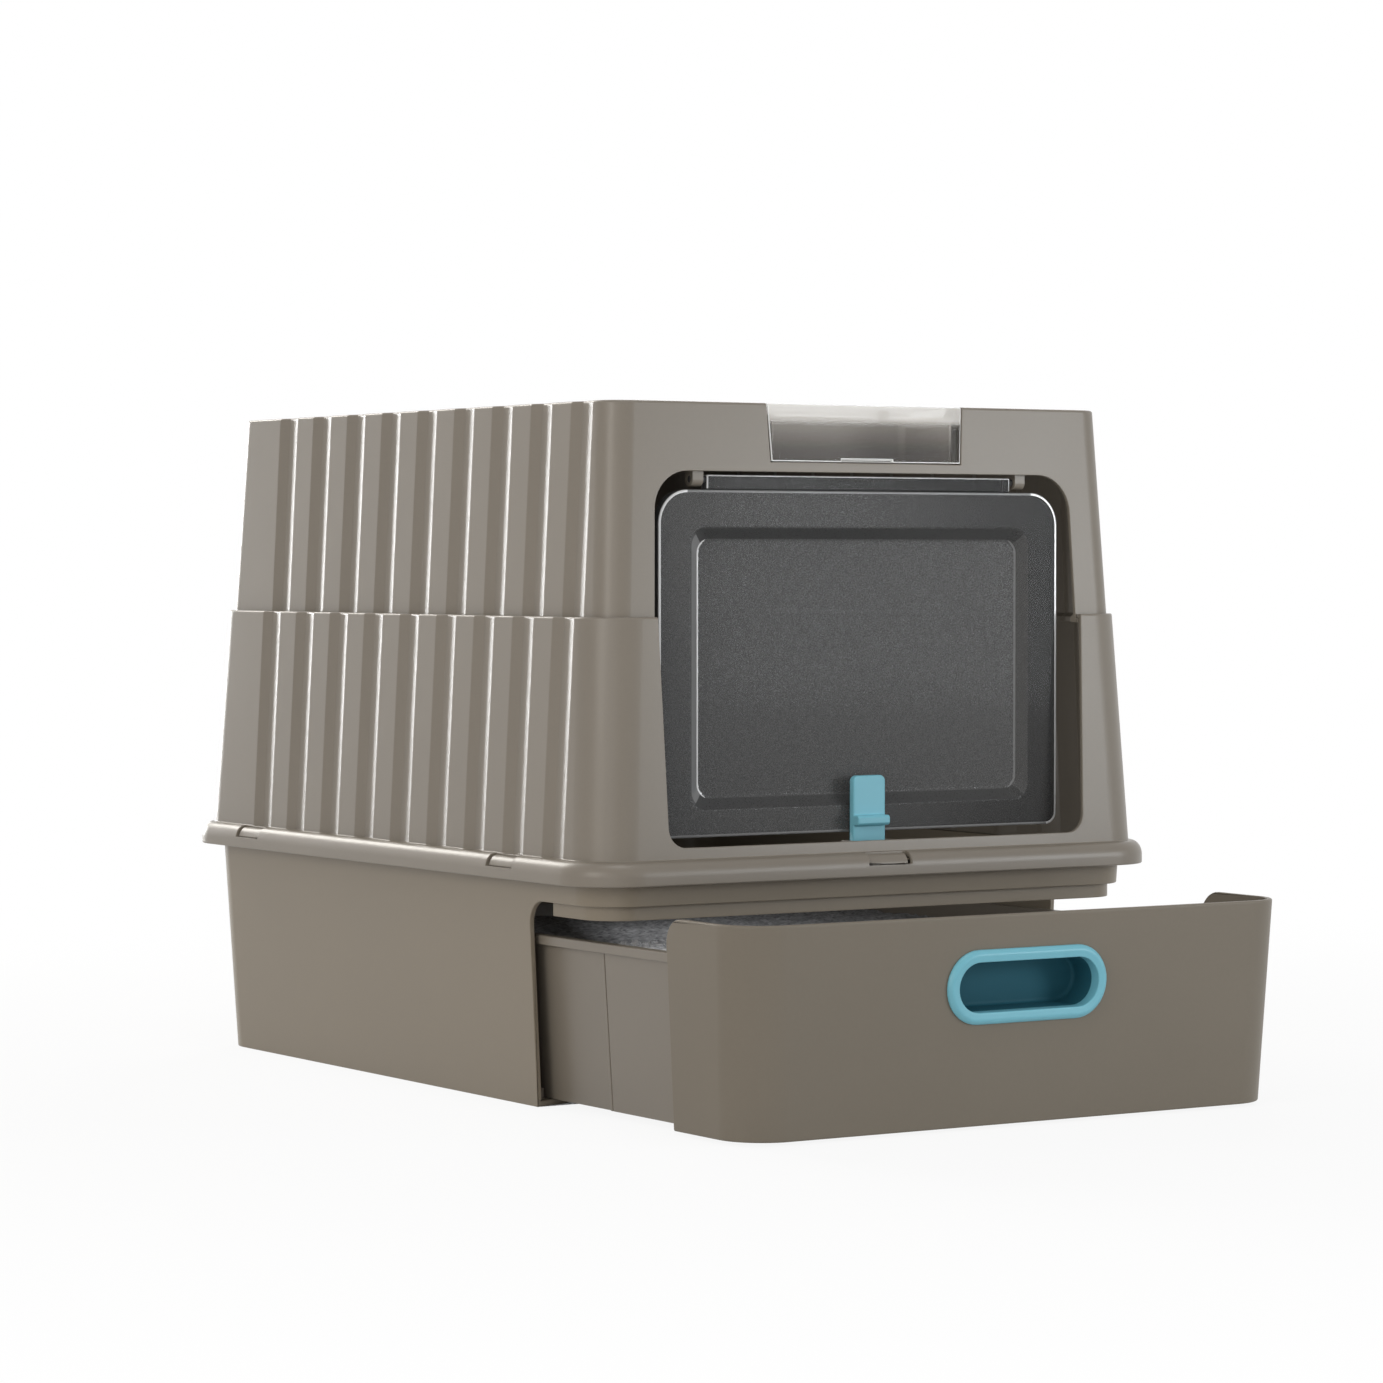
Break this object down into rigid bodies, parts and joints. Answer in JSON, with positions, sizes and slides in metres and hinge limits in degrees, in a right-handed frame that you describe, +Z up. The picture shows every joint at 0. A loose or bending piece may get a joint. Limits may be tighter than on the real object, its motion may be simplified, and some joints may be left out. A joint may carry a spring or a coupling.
{
  "type": "drawer litter box",
  "caption": "Enclosed cat litter box with a two-tier ribbed hood, a hanging smoke-clear door and a pull-out litter drawer.",
  "frame": {"origin": "middle of the base underside, on the floor", "axes": "+Z up, -Y towards the door and the drawer's front, +X to the right of someone facing along +Y"},
  "size_m": [0.3936, 0.6309, 0.3935],
  "materials": {
    "body_plastic": "satin moulded, warm grey",
    "blue_plastic": "satin moulded, teal blue",
    "smoke_clear": "smoke-tinted clear, lightly frosted",
    "clear": "clear, polished",
    "litter": "crumbled grey litter",
    "steel": "zinc plated"
  },
  "bodies": {
    "base": {"base_shell": "body_plastic", "lower_hood": "body_plastic", "rim_catch_left_front": "body_plastic", "rim_catch_left_rear": "body_plastic", "rim_catch_right_front": "body_plastic", "rim_catch_right_rear": "body_plastic", "rim_catch_front": "body_plastic", "rim_catch_rear": "body_plastic", "latch_keeper": "body_plastic", "keeper_screw_left": "steel", "keeper_screw_right": "steel"},
    "latch": {"door_latch": "blue_plastic"},
    "hood": {"upper_hood": "body_plastic", "freshener_pan": "body_plastic"},
    "cover": {"freshener_cover": "clear"},
    "door": {"door_panel": "smoke_clear", "door_hinge_bar": "smoke_clear"},
    "drawer": {"drawer_tray": "body_plastic", "drawer_sleeve": "body_plastic", "drawer_fascia": "body_plastic", "fascia_screw_low_left": "steel", "fascia_screw_low_right": "steel", "fascia_screw_high_left": "steel", "fascia_screw_high_right": "steel", "drawer_pull": "blue_plastic", "litter_bed": "litter"}
  },
  "joints": [
    {"name": "drawer_slide", "type": "slide", "parent": "base", "child": "drawer", "axis": [0, -1, 0], "range_m": [-0.142, 0.06]},
    {"name": "latch_slide", "type": "slide", "parent": "base", "child": "latch", "axis": [0, 0, -1], "range_m": [0, 0.033]},
    {"name": "hood_slide", "type": "slide", "parent": "base", "child": "hood", "axis": [0, 0, -1], "range_m": [0, 0.038]},
    {"name": "door_swing", "type": "hinge", "parent": "hood", "child": "door", "pos_m": [0, -0.21723, 0.3506], "axis": [1, 0, 0], "range_deg": [0, 80]},
    {"name": "cover_hinge", "type": "hinge", "parent": "hood", "child": "cover", "pos_m": [0, -0.16743, 0.3908], "axis": [-1, 0, 0], "range_deg": [0, 95]}
  ]
}
